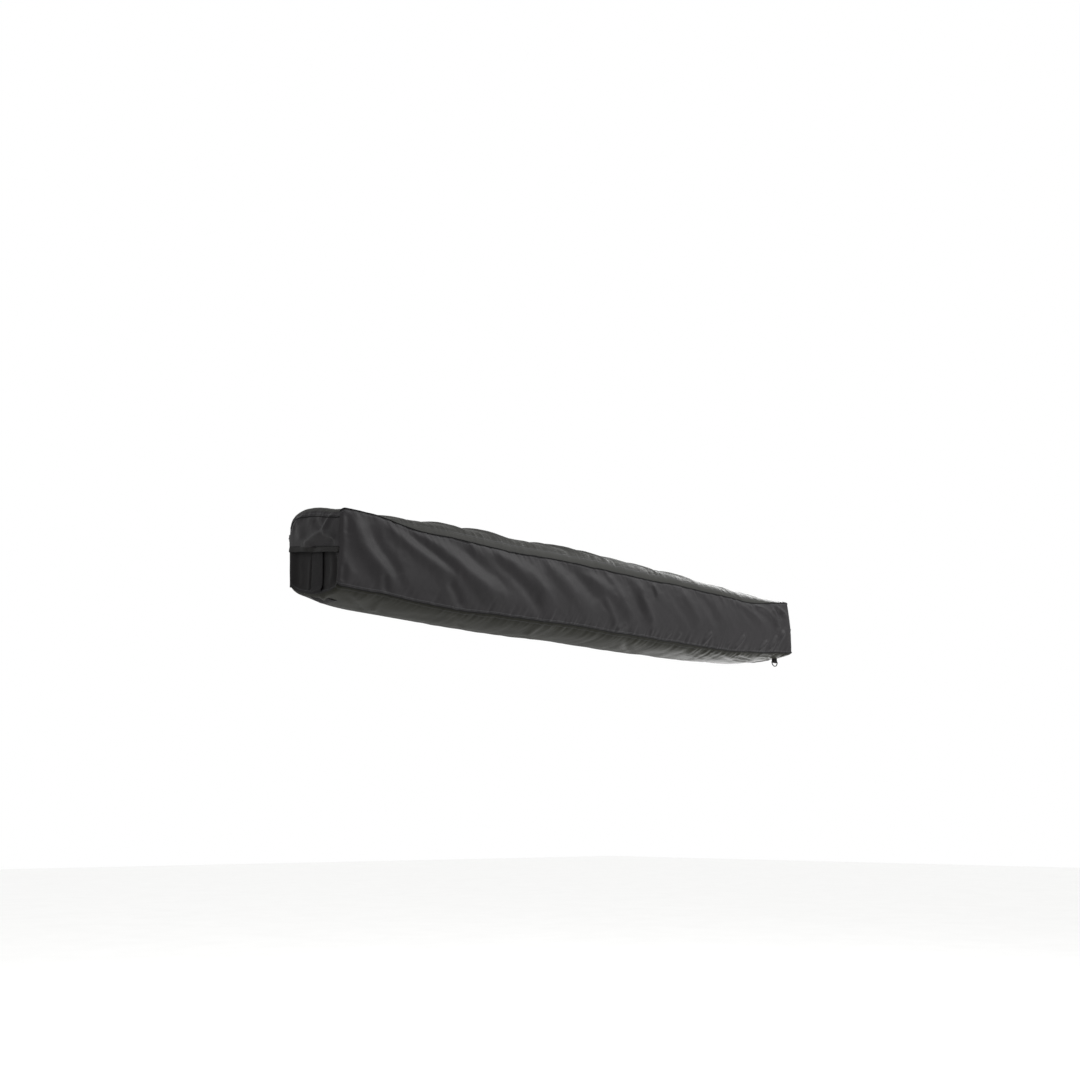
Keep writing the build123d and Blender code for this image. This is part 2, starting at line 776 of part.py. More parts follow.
def build():
    """Every piece by name."""
    pieces = {
        "base_beam": base_beam(),
        "beam_end_caps": beam_end_caps(),
        "bracket_left": bracket(-bracket_spacing / 2),
        "bracket_right": bracket(bracket_spacing / 2),
        "bracket_bolts": bracket_bolts(),
        "slot_nuts": slot_nuts(),
        "head_plate_top": head_plate(True),
        "head_plate_bottom": head_plate(False),
        "head_bolts": head_bolts(),
        "pivot_post": pivot_post(),
        "post_nut": post_nut(),
        "post_washers": post_washers(),
        "back_strip_top": back_strip(True),
        "back_strip_bottom": back_strip(False),
        "zip_tape_fixed": zip_tape(True),
        "zip_tape_cover": zip_tape(False),
        "zip_slider": zip_slider(),
        "zip_pull": zip_pull(),
        "cover_top_panel": cover_top_panel(),
        "cover_front_panel": cover_front_panel(),
        "cover_bottom_panel": cover_bottom_panel(),
        "cover_back_ends": cover_back_ends(),
        "end_flaps": end_flaps(),
        "end_panels": end_panels(),
        "flap_hems": flap_hems(),
        "end_straps": end_straps(),
        "ring_tab": ring_tab(),
        "d_ring": d_ring(),
    }
    for number in range(1, arm_count + 1):
        pieces[f"arm_channel_{number}"] = arm_channel(number)
        pieces[f"arm_knuckle_{number}"] = arm_knuckle(number)
        pieces[f"arm_tip_{number}"] = arm_tip(number)
        pieces[f"canopy_gore_{number}"] = canopy_gore(number)
        pieces[f"leg_outer_{number}"] = leg_outer(number)
        pieces[f"leg_collar_{number}"] = leg_collar(number)
        pieces[f"leg_inner_{number}"] = leg_inner(number)
        pieces[f"leg_foot_{number}"] = leg_foot(number)
    return pieces


os.makedirs("parts", exist_ok=True)
for name, shape in build().items():
    export_step(shape, f"parts/{name}.step")
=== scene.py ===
import json
import math

import bpy
import numpy as np
from mathutils import Matrix, Vector


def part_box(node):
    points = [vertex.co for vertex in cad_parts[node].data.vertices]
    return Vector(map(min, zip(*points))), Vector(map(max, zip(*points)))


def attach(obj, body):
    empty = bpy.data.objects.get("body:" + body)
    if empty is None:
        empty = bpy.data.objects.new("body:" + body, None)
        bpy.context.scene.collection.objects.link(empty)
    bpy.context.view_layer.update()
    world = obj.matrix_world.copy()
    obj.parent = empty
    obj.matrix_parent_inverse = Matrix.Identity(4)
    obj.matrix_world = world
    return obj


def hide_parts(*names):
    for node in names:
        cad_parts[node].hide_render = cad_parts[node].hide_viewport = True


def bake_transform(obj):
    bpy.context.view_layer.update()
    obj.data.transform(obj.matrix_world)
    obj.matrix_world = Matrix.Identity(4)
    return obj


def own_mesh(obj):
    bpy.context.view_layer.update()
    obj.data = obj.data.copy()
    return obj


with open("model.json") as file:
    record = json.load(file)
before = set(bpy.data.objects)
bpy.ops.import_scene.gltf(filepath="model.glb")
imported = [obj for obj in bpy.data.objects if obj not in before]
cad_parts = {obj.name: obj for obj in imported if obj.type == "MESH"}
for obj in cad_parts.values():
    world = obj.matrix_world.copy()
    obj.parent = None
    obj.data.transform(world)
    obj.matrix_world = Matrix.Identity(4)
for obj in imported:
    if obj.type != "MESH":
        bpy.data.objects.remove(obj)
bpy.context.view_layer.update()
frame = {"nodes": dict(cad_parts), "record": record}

# A swing-out fan awning packed in its coated-cloth travel cover, seen from below its left end.
# Shapes are worked out in millimetres, in the CAD's own frame, and put into the meshes in metres.

nodes = frame["nodes"]
slots = {part["node"]: part["material_slot"] for part in frame["record"]["subparts"]}

COVER_END = 1050.0
BACK = -51.0
FRONT = -321.0
TOP = 78.5
BOTTOM = -126.5
DEPTH = BACK - FRONT
MIDDLE = (BACK + FRONT) / 2
MID_Z = -24.0
END_RECESS = 4.0
PIVOT_X = -1000.0
ARM_TOP = -6.0
ARM_Y = (-112.0, -162.0, -212.0, -262.0)


# Camera and light


def aim(thing, place, forward, up=(0, 0, 1)):
    """Turns a camera or lamp, which looks along its own -Z, to look along forward with its own Y nearest to up."""
    back = -Vector(forward).normalized()
    right = Vector(up).cross(back).normalized()
    turn = Matrix((right, back.cross(right), back)).transposed()
    thing.matrix_world = Matrix.Translation(Vector(place)) @ turn.to_4x4()


camera = bpy.data.objects.new("camera", bpy.data.cameras.new("camera"))
bpy.context.scene.collection.objects.link(camera)
camera.data.sensor_width = 36.0
camera.data.lens = 37.67
aim(camera, (-2.682, -3.058, -0.7935), (0.6378, 0.7297, 0.247))
bpy.context.scene.camera = camera


def softbox(name, place, towards, size, watts):
    """A square area lamp of that side, in metres, that looks at a point."""
    lamp = bpy.data.lights.new(name, "AREA")
    lamp.size = size
    lamp.energy = watts
    holder = bpy.data.objects.new(name, lamp)
    bpy.context.scene.collection.objects.link(holder)
    aim(holder, place, Vector(towards) - Vector(place))


softbox("key_light", (2.4, -2.6, 3.0), (0.1, -0.2, 0.0), 2.4, 205.0)
softbox("fill_light", (-3.4, -2.6, 1.2), (-0.6, -0.2, 0.0), 2.4, 30.0)
softbox("low_light", (1.8, -1.35, -0.9), (0.95, -0.2, -0.1), 0.8, 22.0)
softbox("back_light", (2.4, 0.9, -0.55), (0.85, -0.2, -0.12), 0.9, 24.0)
softbox("rim_light", (2.7, 0.7, 1.5), (0.7, -0.27, 0.12), 0.9, 34.0)

world = bpy.data.worlds.new("studio_white")
bpy.context.scene.world = world
world.use_nodes = True
world.node_tree.nodes["Background"].inputs["Color"].default_value = (1.0, 1.0, 1.0, 1.0)
world.node_tree.nodes["Background"].inputs["Strength"].default_value = 1.0
bpy.context.scene.view_settings.view_transform = "Standard"


# Materials


def linear(colour):
    """An sRGB colour written as six hex digits, as linear red, green, blue and alpha."""
    parts = [int(colour[n:n + 2], 16) / 255 for n in (0, 2, 4)]
    return [p / 12.92 if p <= 0.04045 else ((p + 0.055) / 1.055) ** 2.4 for p in parts] + [1.0]


def add(tree, kind, sockets, **settings):
    """Adds a node. A socket's value is a constant, or a pair of another node and the name of its output."""
    made = tree.nodes.new("ShaderNode" + kind)
    for key, value in settings.items():
        setattr(made, key, value)
    for key, value in sockets.items():
        if isinstance(value, tuple) and isinstance(value[0], bpy.types.Node):
            tree.links.new(value[0].outputs[value[1]], made.inputs[key])
        else:
            made.inputs[key].default_value = value
    return made


def finish(name, pattern, roughness, metallic=0.0, sockets=None):
    """A material around one principled shader. The pattern adds its own nodes and gives the shader's linked sockets."""
    material = bpy.data.materials.new(name)
    material.use_nodes = True
    tree = material.node_tree
    shader = tree.nodes["Principled BSDF"]
    shader.inputs["Roughness"].default_value = roughness
    shader.inputs["Metallic"].default_value = metallic
    for key, value in (sockets or {}).items():
        shader.inputs[key].default_value = value
    for key, (source, output) in pattern(tree).items():
        tree.links.new(source.outputs[output], shader.inputs[key])
    return material


WAVE_SCALE = 0.31  # a wave texture's scale times its period: two pi over twenty, rounded
STITCH_INSET, STITCH_HALF_WIDTH = 7.0, 0.9  # mm, as the seam attribute is
STITCH_STEP, STITCH_LENGTH = 0.006, 0.004  # m, as the map is


def cloth_pattern(dark, light, thread, depth, stitched):
    """A plain weave on the piece's own map, which is in metres: two sine waves at right angles, multiplied.

    Colour drifts between two shades over some 70 mm, as handled cloth does. A stitched cloth has a row of
    stitches, 4 mm long in a 6 mm step, 7 mm inside each long seam, read from the piece's seam distance."""
    def nodes_for(tree):
        place = add(tree, "TexCoord", {})
        across = add(tree, "TexWave", {"Vector": (place, "UV"), "Scale": WAVE_SCALE / thread}, bands_direction="X")
        along = add(tree, "TexWave", {"Vector": (place, "UV"), "Scale": WAVE_SCALE / thread}, bands_direction="Y")
        weave = add(tree, "Math", {0: (across, "Fac"), 1: (along, "Fac")}, operation="MULTIPLY")
        drift = add(tree, "TexNoise", {"Vector": (place, "Object"), "Scale": 14.0, "Detail": 4.0})
        shade = add(tree, "Mix", {"Factor": (drift, "Fac"), "A": linear(dark), "B": linear(light)}, data_type="RGBA")
        bump = add(tree, "Bump", {"Height": (weave, "Value"), "Strength": 0.6, "Distance": depth})
        if not stitched:
            return {"Base Color": (shade, "Result"), "Normal": (bump, "Normal")}
        seam = add(tree, "Attribute", {}, attribute_name="seam")
        off = add(tree, "Math", {0: (seam, "Fac"), 1: STITCH_INSET}, operation="SUBTRACT")
        away = add(tree, "Math", {0: (off, "Value")}, operation="ABSOLUTE")
        row = add(tree, "Math", {0: (away, "Value"), 1: STITCH_HALF_WIDTH}, operation="LESS_THAN")
        split = add(tree, "SeparateXYZ", {"Vector": (place, "UV")})
        steps = add(tree, "Math", {0: (split, "X"), 1: STITCH_STEP}, operation="MODULO")
        dash = add(tree, "Math", {0: (steps, "Value"), 1: STITCH_LENGTH}, operation="LESS_THAN")
        stitch = add(tree, "Math", {0: (row, "Value"), 1: (dash, "Value")}, operation="MULTIPLY")
        thread_colour = add(tree, "Mix", {"Factor": (stitch, "Value"), "A": (shade, "Result"), "B": linear("2E2E30")},
                            data_type="RGBA")
        sewn = add(tree, "Bump", {"Height": (stitch, "Value"), "Strength": 0.5, "Distance": 0.0008,
                                  "Normal": (bump, "Normal")})
        return {"Base Color": (thread_colour, "Result"), "Normal": (sewn, "Normal")}
    return nodes_for


def metal_pattern(dark, light, scales, depth):
    """Streaks or grain: noise on Object coordinates, stretched by its three scales per metre, tints and roughens."""
    def nodes_for(tree):
        place = add(tree, "TexCoord", {})
        fitted = add(tree, "Mapping", {"Vector": (place, "Object"), "Scale": scales})
        grain = add(tree, "TexNoise", {"Vector": (fitted, "Vector"), "Scale": 1.0, "Detail": 3.0})
        shade = add(tree, "Mix", {"Factor": (grain, "Fac"), "A": linear(dark), "B": linear(light)}, data_type="RGBA")
        bump = add(tree, "Bump", {"Height": (grain, "Fac"), "Strength": 0.5, "Distance": depth})
        return {"Base Color": (shade, "Result"), "Normal": (bump, "Normal")}
    return nodes_for


def ripstop_pattern(tree):
    """Canvas with a heavier thread every 8 mm both ways: the crests of two sine waves stand up as fine lines."""
    place = add(tree, "TexCoord", {})
    lines = []
    for direction in ("X", "Y"):
        wave = add(tree, "TexWave", {"Vector": (place, "UV"), "Scale": 39.0}, bands_direction=direction)
        lines.append(add(tree, "Math", {0: (wave, "Fac"), 1: 0.93}, operation="GREATER_THAN"))
    grid = add(tree, "Math", {0: (lines[0], "Value"), 1: (lines[1], "Value")}, operation="MAXIMUM")
    drift = add(tree, "TexNoise", {"Vector": (place, "Object"), "Scale": 9.0, "Detail": 5.0})
    shade = add(tree, "Mix", {"Factor": (drift, "Fac"), "A": linear("9B9990"), "B": linear("A9A79D")}, data_type="RGBA")
    lined = add(tree, "Mix", {"Factor": (grid, "Value"), "A": (shade, "Result"), "B": linear("8A887F")},
                data_type="RGBA")
    bump = add(tree, "Bump", {"Height": (grid, "Value"), "Strength": 0.5, "Distance": 0.0003})
    return {"Base Color": (lined, "Result"), "Normal": (bump, "Normal")}


# PVC-coated polyester: a black woven cloth under a satin skin, so folds carry soft broad highlights.
# Its 0.6 mm threads are drawn at 2.4 mm, as fine as the render shows.
coated_cloth = finish("pvc_coated_polyester", cloth_pattern("131213", "1B191B", 0.0024, 0.00018, True), 0.57, 0.0,
                      {"Specular IOR Level": 0.16})
# The same cloth on top, tinted a little towards olive: painted light, the greenish-grey cast of the light on the top
# panel.
top_lit_cloth = finish("top_lit_coated_polyester", cloth_pattern("131310", "1B1B16", 0.0024, 0.00018, True), 0.57, 0.0,
                      {"Specular IOR Level": 0.16})
# The same cloth's lower panel, tinted olive-grey: painted light, the greenish light bounced up from the ground.
ground_lit_cloth = finish("ground_lit_coated_polyester", cloth_pattern("12120E", "191912", 0.0024, 0.00018, True), 0.6, 0.0,
                     {"Specular IOR Level": 0.08})
# The set-back end panels: the same weave with a duller skin, coloured the darkest on the cover as painted shade for the
# shadow under the flaps.
shaded_inset_cloth = finish("shaded_coated_polyester", cloth_pattern("0E0D0E", "151414", 0.0024, 0.00018, True), 0.62, 0.0,
                     {"Specular IOR Level": 0.08})
# The doubled hems of the end flaps: the same cloth, rubbed dull by handling, between the flap and the end panel.
hem_cloth = finish("rubbed_coated_polyester", cloth_pattern("0E0D0D", "141312", 0.0024, 0.00018, False), 0.62, 0.0,
                   {"Specular IOR Level": 0.11})
# Seam welts: a narrow matt tape coloured near black, darker than the cloth: a small real welt whose dark colour is
# painted shade, drawing each seam's pinched groove as a thin line.
shade_welt_cloth = finish("seam_shade_welt", cloth_pattern("070707", "0B0B0B", 0.002, 0.0002, False), 0.75, 0.0,
                 {"Specular IOR Level": 0.1})
# Polypropylene webbing: coarse ribs across the strap and a dull gloss.
webbing = finish("polypropylene_webbing", cloth_pattern("0A090A", "100F10", 0.003, 0.0006, False), 0.65, 0.0,
                 {"Specular IOR Level": 0.09})
# Ripstop canvas: matt, with the heavier threads as a fine square grid.
canvas = finish("ripstop_canvas", ripstop_pattern, 0.85)
# Woven zip tape with nylon coils: matt and fine-ribbed.
zip_weave = finish("zip_tape_weave", cloth_pattern("1C1C1D", "252526", 0.002, 0.0003, False), 0.65)

finishes = {
    # Satin-anodised aluminium: long faint draw lines along the extrusion.
    "beam_alloy": finish("anodised_aluminium", metal_pattern("9A9CA0", "A9ABAE", (9.0, 700.0, 700.0), 0.00003), 0.42,
                         1.0),
    "arm_alloy": finish("anodised_arm_aluminium", metal_pattern("ABABAE", "BBBBBD", (9.0, 700.0, 700.0), 0.00003), 0.38,
                        1.0),
    # Powder coat: black with a fine orange-peel skin, about 1.5 mm from bump to bump.
    "black_steel": finish("black_powder_coat", metal_pattern("1C1C1E", "232325", (650.0, 650.0, 650.0), 0.0001), 0.42),
    # Zinc plate gone dull outdoors: grey, a little blue, cloudy over a few millimetres.
    "zinc_steel": finish("zinc_plate", metal_pattern("82868A", "9EA1A4", (240.0, 240.0, 240.0), 0.00004), 0.36, 1.0),
    # Ground stainless steel: fine rings round the post.
    "pivot_steel": finish("ground_stainless", metal_pattern("B0B0B1", "C4C4C5", (20.0, 20.0, 1500.0), 0.00003), 0.26,
                          1.0),
    # Glass-filled nylon: dull black with a spark-eroded mould grain.
    "black_nylon": finish("moulded_nylon", metal_pattern("232323", "2C2C2C", (800.0, 800.0, 800.0), 0.00012), 0.55),
    # Enamelled zinc, rubbed satin by use: black, with a short soft sheen.
    "zip_metal": finish("black_enamel", metal_pattern("151516", "1C1C1D", (300.0, 300.0, 300.0), 0.00002), 0.5, 0.0,
                        {"Specular IOR Level": 0.25}),
    # Moulded rubber: matt, a little grey with bloom.
    "foot_rubber": finish("moulded_rubber", metal_pattern("1F1F1F", "2B2B2A", (500.0, 500.0, 500.0), 0.00015), 0.82),
    "cover_cloth": coated_cloth,
    "webbing": webbing,
    "canopy_cloth": canvas,
    "zip_tape": zip_weave,
}
for name, thing in nodes.items():
    for place in thing.material_slots:
        place.material = finishes[slots[name]]


# Floor


def floor():
    """A pale matt floor, as far down as the drawn-out legs reach."""
    half, z = 30.0, -1.86
    mesh = bpy.data.meshes.new("floor")
    mesh.from_pydata([(-half, -half, z), (half, -half, z), (half, half, z), (-half, half, z)], [], [(0, 1, 2, 3)])
    thing = bpy.data.objects.new("floor", mesh)
    bpy.context.scene.collection.objects.link(thing)
    # Painted studio floor: matt, almost white.
    paint = metal_pattern("F4F4F3", "FAFAF9", (3.0, 3.0, 3.0), 0.0)
    mesh.materials.append(finish("white_floor_paint", paint, 0.9))


floor()


# Shapes


def ease(share):
    """The smooth step from 0 to 1: s^2 (3 - 2s)."""
    return share * share * (3 - 2 * share)


def unit(vectors):
    """Each vector at length 1."""
    return vectors / np.linalg.norm(vectors, axis=1, keepdims=True)


def running_length(line):
    """The length along a line of points, from its first point to each of them."""
    return np.concatenate(([0.0], np.cumsum(np.linalg.norm(np.diff(line, axis=0), axis=1))))


NO_SEAM = 1000.0  # mm, a distance that no stitch is drawn at


def surface(name, points, material, body, replaces=(), seam=None, closed=False,
            chart=None):
    """A mesh over a grid of points, in mm, smooth-shaded. Its map runs along both grid directions in metres.

    The map's two lengths are the running sums of the steps along the middle row and the middle column.
    seam gives each point's distance to the nearest long seam in mm. closed joins the last column to the first.
    chart gives each point's place on the flat cut in place of the map."""
    rows, columns = points.shape[:2]
    lengths, widths = running_length(points[:, columns // 2]) / 1000, running_length(points[rows // 2]) / 1000
    count = columns if closed else columns - 1
    first, second = np.arange(rows - 1)[:, None], np.arange(count)[None, :]
    nearer, further = first * columns + second, first * columns + (second + 1) % columns
    faces = np.stack((nearer, further, further + columns, nearer + columns), axis=-1).reshape(-1, 4)
    mesh = bpy.data.meshes.new(name)
    mesh.from_pydata((points.reshape(-1, 3) / 1000).tolist(), [], faces.tolist())
    picked = faces.reshape(-1)
    if chart is None:
        chart = np.stack(np.meshgrid(lengths, widths, indexing="ij"), -1)
    mesh.uv_layers.new(name="map").data.foreach_set("uv", chart.reshape(-1, 2)[picked].ravel())
    mark = mesh.attributes.new("seam", "FLOAT", "POINT")
    distance = np.full(rows * columns, NO_SEAM) if seam is None else np.broadcast_to(seam, (rows, columns)).ravel()
    mark.data.foreach_set("value", distance.astype(np.float32))
    mesh.polygons.foreach_set("use_smooth", np.ones(len(faces), bool))
    mesh.materials.append(material)
    mesh.update()
    thing = bpy.data.objects.new(name, mesh)
    bpy.context.scene.collection.objects.link(thing)
    if body:
        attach(thing, body)
    if replaces:
        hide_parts(*replaces)
    return thing


def tube(path, radii, sides=10):
    """Rings of points round a path: each ring lies across the path's direction, at its own radius."""
    ahead = unit(np.gradient(path, axis=0))
    guide = np.array([0.31, 0.47, 0.83])  # a direction that no path here runs along
    side = unit(np.cross(ahead, guide))
    up = np.cross(side, ahead)
    turn = np.linspace(0, 2 * np.pi, sides, endpoint=False)
    radii = np.broadcast_to(radii, len(path))[:, None, None]
    ring = np.cos(turn)[None, :, None] * side[:, None] + np.sin(turn)[None, :, None] * up[:, None]
    return path[:, None] + radii * ring


def along(x, places, values, soften=45.0):
    """A smooth curve through named places: straight runs between them, then a bell-shaped moving average."""
    pitch = 5.0
    fine = np.arange(-1250.0, 1251.0, pitch)
    line = np.interp(fine, places, values)
    reach = np.arange(-4 * soften, 4 * soften + 1, pitch)
    bell = np.exp(-0.5 * (reach / soften) ** 2)
    padded = np.pad(line, len(reach) // 2, mode="edge")
    return np.interp(x, fine, np.convolve(padded, bell / bell.sum(), mode="valid"))


LATTICE = 512


def crumple(u, v, size_u, size_v, seed):
    """Smooth noise from -1 to 1: random heights on a lattice of size_u by size_v mm, eased between its points."""
    heights = np.random.default_rng(seed).uniform(-1, 1, (LATTICE, LATTICE))
    a, b = u / size_u + 200.0, v / size_v + 200.0
    i, j = np.floor(a).astype(int), np.floor(b).astype(int)
    s, t = ease(a - i), ease(b - j)
    i, j, next_i, next_j = i % LATTICE, j % LATTICE, (i + 1) % LATTICE, (j + 1) % LATTICE
    near = heights[i, j] * (1 - s) + heights[next_i, j] * s
    far = heights[i, next_j] * (1 - s) + heights[next_i, next_j] * s
    return near * (1 - t) + far * t


def rounded(points, count=16):
    """A line with its corners eased: even steps along it, then each place drawn four times towards its neighbours."""
    starts = running_length(points)
    places = np.linspace(0, starts[-1], count)
    points = np.stack([np.interp(places, starts, points[:, k]) for k in (0, 1)], -1)
    for _ in range(4):
        points[1:-1] = 0.25 * points[:-2] + 0.5 * points[1:-1] + 0.25 * points[2:]
    return points


def folds(u, v, lines):
    """The height of drag folds. Each is (width, height, points): a bell-shaped ridge along a line of points.

    The ridge fades over the line's first and last fifth, and a shallower trough runs on both sides of it."""
    total = np.zeros(np.broadcast(u, v).shape)
    for width, height, points in lines:
        points = rounded(np.array(points, float))
        runs = np.linalg.norm(np.diff(points, axis=0), axis=1)
        starts = running_length(points)
        nearest = np.full(total.shape, 1e9)
        share = np.zeros(total.shape)
        for n, run in enumerate(runs):
            step = (points[n + 1] - points[n]) / run
            reach = np.clip((u - points[n, 0]) * step[0] + (v - points[n, 1]) * step[1], 0, run)
            distance = np.hypot(u - points[n, 0] - reach * step[0], v - points[n, 1] - reach * step[1])
            closer = distance < nearest
            nearest = np.where(closer, distance, nearest)
            share = np.where(closer, (starts[n] + reach) / starts[-1], share)
        fade = ease(np.clip(np.minimum(share, 1 - share) / 0.2, 0, 1))
        near = nearest / width
        total += height * (0.25 + 0.75 * fade) * (np.exp(-near ** 2) - 0.35 * np.exp(-(near / 2.2) ** 2))
    return total


# The cover's outline along its length. Each pair of rows is places along X and values there, in mm.

FRONT_SEAM_TOP = ((-1050, -915, -850, -760, -700, -530, -350, -290, -200, 85, 250, 420, 545, 700, 795, 900, 1000, 1050),
                  (103, 104, 88, 74, 79, 75, 70, 75, 78, 73, 71, 73, 69, 67, 59, 71, 87, 95))
FRONT_SEAM_LOW = ((-1050, -930, -830, -640, -290, -200, 300, 690, 905, 1030, 1050),
                  (-127, -130, -135, -145, -139, -137, -141, -141, -125, -113, -112))
BACK_SEAM_LOW = ((-1050, -1010, -960, -900, 900, 990, 1050), (-78, -105, -122, -126.5, -126.5, -120, -106))
CROWN = ((-1050, -922, -882, -813, -700, -600, -486, -368, -245, -48, 137, 317, 479, 608, 793, 925, 1050),
         (18, 21, 33, 54, 63, 65, 75, 74, 70, 77, 79, 68, 66, 57, 58, 46, 26))
SAG = ((-1050, -913, -746, -500, -20, 177, 474, 854, 976, 1050), (32, 24, 28, 38, 37, 39, 37, 29, 26, 14))


def fullness(x):
    """How much of the end's own shape the section has: 1 at both ends, none 260 mm in."""
    return 1 - ease(np.clip((COVER_END - np.abs(x)) / 260.0, 0, 1))


def drawn_in(x, y, z):
    """The last 16 mm of the cover turn in round its end seams: the section shrinks there by a flattened quarter
    circle, 0.55 of it deep."""
    radius, half_height = 16.0, 105.0
    past = np.clip((np.abs(x) - (COVER_END - radius)) / radius, 0, 1)
    inset = 0.55 * radius * (1 - np.sqrt(1 - 0.98 * past ** 2))
    return MIDDLE + (y - MIDDLE) * (1 - inset / (DEPTH / 2)), MID_Z + (z - MID_Z) * (1 - inset / half_height)


def low_corner(x):
    """The lower front seam's Y. Its corner at the far end stands out 10 mm."""
    return FRONT - 10.0 * np.clip((x - 930.0) / 120.0, 0, 1) ** 2


def back_edge(x, height=1.0):
    """The Y of the cover's back, from its lower edge, height = 0, to its upper edge, height = 1.

    Over the last 70 mm of each end the cloth is pushed backwards by the end's stiff corner, more above."""
    near = np.clip(1 - (COVER_END - np.abs(x)) / 70.0, 0, 1)
    return BACK + (10.0 + 26.0 * height) * near ** 3


def seam_wander(x, seed):
    """A sewn seam never runs dead straight: it wanders a millimetre or two over some 60 mm."""
    return 1.5 * crumple(x, 0 * x, 60.0, 10.0, seed) + 0.7 * crumple(x, 0 * x, 21.0, 10.0, seed + 1)


def puckers(x, distance, size, reach, seed):
    """Short gathers that start at a seam and die away from it. They are nil at the seam itself."""
    gather = crumple(x, 0.15 * distance, 15.0, 30.0, seed) + 0.6 * crumple(x, 0.2 * distance, 7.5, 20.0, seed + 1)
    return size * gather * np.exp(-distance / reach) * (1 - np.exp(-distance / 3.0))


STATIONS = np.linspace(-COVER_END, COVER_END, 600)


def top_panel(x, t):
    """The top panel from its back edge, t = 0, to the front seam, t = 1.

    Height is the straight line between both edges plus the crown. In the middle the crown is (4t(1-t))^0.42,
    a full cushion. At the ends it is t^0.25 (1-t)^1.25, high at the back and falling to the front, and the right
    end takes three quarters of that shape."""
    high = along(x, *FRONT_SEAM_TOP) + seam_wander(x, 11)
    y = back_edge(x) + (FRONT - back_edge(x)) * t
    middle = along(x, *CROWN) * np.maximum(4 * t * (1 - t), 0) ** 0.42
    end = 126.0 * t ** 0.25 * (1 - t) ** 1.25
    share = fullness(x) * np.where(x > 0, 0.75, 1.0)
    z = TOP + (high - TOP) * t + middle * (1 - share) + end * share
    hold = np.clip(4 * t * (1 - t), 0, 1) ** 0.5
    from_front = (1 - t) * DEPTH
    ridges = folds(x, y, TOP_FOLDS)
    soft = 2.2 * crumple(x + 0.8 * y, y, 120.0, 60.0, 21) + 1.1 * crumple(x + y, y, 42.0, 30.0, 22)
    z = z + hold * (ridges + soft) + puckers(x, from_front, 2.2, 26.0, 31)
    return drawn_in(x, y, z)


def front_panel(x, t):
    """The front panel from the upper seam, t = 0, to the lower seam, t = 1.

    It bulges outwards by 4t(1-t), hangs in long diagonal drag folds, and is gathered along both seams."""
    high = along(x, *FRONT_SEAM_TOP) + seam_wander(x, 11)
    low = along(x, *FRONT_SEAM_LOW) + seam_wander(x, 13)
    z = high + (low - high) * t
    distance = np.minimum(t, 1 - t) * (high - low)
    hold = 1 - np.exp(-(distance / 14.0) ** 1.3)
    out = 7.0 * 4 * t * (1 - t) + hold * folds(x, z, FRONT_FOLDS)
    slant = x + 0.9 * z
    out = out + hold * (2.0 * crumple(slant, z, 95.0, 150.0, 41) + 0.9 * crumple(slant, z, 34.0, 70.0, 42)
                        + 0.35 * crumple(x, z, 14.0, 14.0, 43))
    strength = along(x, (-1050, -500, 200, 700, 1050), (1.6, 1.8, 3.0, 3.6, 4.0), 120.0)
    out = out + puckers(x - 0.5 * z, (1 - t) * (high - low), 1.0, 24.0, 51) * strength
    out = out + puckers(x + 0.5 * z, t * (high - low), 1.6, 20.0, 53)
    return drawn_in(x, FRONT + (low_corner(x) - FRONT) * t - out, z)


def bottom_panel(x, t):
    """The bottom panel from the front seam, t = 0, to its back edge, t = 1. It sags by (4t(1-t))^0.6."""
    low = along(x, *FRONT_SEAM_LOW) + seam_wander(x, 13)
    edge = along(x, *BACK_SEAM_LOW)
    y = low_corner(x) + (back_edge(x, 0.0) - low_corner(x)) * t
    hold = np.clip(4 * t * (1 - t), 0, 1) ** 0.5
    sag = along(x, *SAG) * np.maximum(4 * t * (1 - t), 0) ** 0.6
    soft = 1.8 * crumple(x + 0.5 * y, y, 110.0, 70.0, 61) + 0.8 * crumple(x - 0.6 * y, y, 36.0, 40.0, 62)
    z = low + (edge - low) * t - sag + hold * (soft + folds(x, y, BOTTOM_FOLDS))
    strength = along(x, (-1050, 0, 600, 1050), (1.6, 1.8, 3.0, 3.4), 120.0)
    z = z + puckers(x, t * DEPTH, 1.0, 30.0, 71) * strength
    return drawn_in(x, y, z)


# Drag folds as (width, height, line), on the front panel in X and Z, on the others in X and Y.

